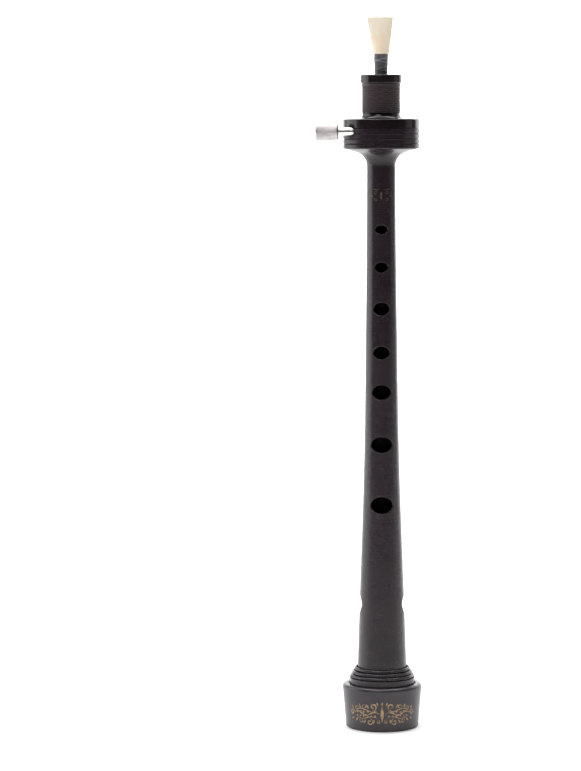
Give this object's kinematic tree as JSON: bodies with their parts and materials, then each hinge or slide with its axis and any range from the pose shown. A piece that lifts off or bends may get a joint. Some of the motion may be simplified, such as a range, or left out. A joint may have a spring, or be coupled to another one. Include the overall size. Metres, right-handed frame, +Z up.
{
  "type": "bagpipe chanter with geared reed adjuster",
  "caption": "Standing bagpipe chanter: tapered black tube with finger holes, turned sole, grooved gear housing with side knob that raises the reed, and a cane double reed on top.",
  "frame": {"origin": "centre of the flat lower face of the sole, on the axis of the bore", "axes": "+Z up along the bore axis towards the reed; -Y is the side with the finger holes; -X is the side with the tuning knob"},
  "size_m": [0.0607, 0.0458, 0.4104],
  "materials": {
    "black_acetal": "turned acetal, satin polish",
    "black_acetal_sole": "turned acetal with a gilt ornament",
    "black_acetal_cap": "turned acetal, satin polish",
    "black_acetal_carrier": "turned acetal, satin",
    "knob_steel": "diamond knurled",
    "shaft_steel": "ground",
    "pinion_steel": "machined",
    "gear_aluminium": "machined",
    "key_steel": "ground pin",
    "screw_black_steel": "black oxide",
    "set_screw_black_steel": "black oxide",
    "seal_rubber": "moulded, greased",
    "staple_brass": "rolled tube",
    "waxed_hemp": "waxed yellow thread",
    "binding_thread": "waxed dark thread",
    "cane": "scraped cane"
  },
  "bodies": {
    "chanter": {"chanter_body": "black_acetal", "sole": "black_acetal_sole", "carrier_key": "key_steel"},
    "cap": {"gear_cap": "black_acetal_cap", "cap_screws": "screw_black_steel"},
    "knob": {"tuning_knob": "knob_steel", "knob_set_screw": "set_screw_black_steel", "pinion_shaft": "shaft_steel", "shaft_o_ring": "seal_rubber", "helical_pinion": "pinion_steel"},
    "ring": {"ring_gear": "gear_aluminium"},
    "carrier": {"reed_carrier": "black_acetal_carrier", "carrier_o_ring_upper": "seal_rubber", "carrier_o_ring_lower": "seal_rubber"},
    "reed": {"reed_staple": "staple_brass", "reed_blade_front": "cane", "reed_blade_back": "cane", "reed_binding": "binding_thread", "reed_hemp": "waxed_hemp"}
  },
  "joints": [
    {"name": "knob_turn", "type": "hinge", "parent": "chanter", "child": "knob", "pos_m": [0, -0.01272, 0.3453], "axis": [1, 0, 0], "range_deg": [-1620.5, 1620.5]},
    {"name": "ring_gear_turn", "type": "hinge", "parent": "chanter", "child": "ring", "pos_m": [0, 0, 0.3453], "axis": [0, 0, 1], "range_deg": [-720.5, 720.5]},
    {"name": "carrier_slide", "type": "slide", "parent": "chanter", "child": "carrier", "axis": [0, 0, 1], "range_m": [-0.003, 0.003]},
    {"name": "reed_pull", "type": "slide", "parent": "carrier", "child": "reed", "axis": [0, 0, 1], "range_m": [0, 0.035]},
    {"name": "cap_lift", "type": "slide", "parent": "chanter", "child": "cap", "axis": [0, 0, 1], "range_m": [0, 0.025]}
  ],
  "couplings": [
    {"joint": "knob_turn", "follows": "carrier_slide", "rad_per_m": -9424.8},
    {"joint": "ring_gear_turn", "follows": "carrier_slide", "rad_per_m": -4188.8}
  ]
}
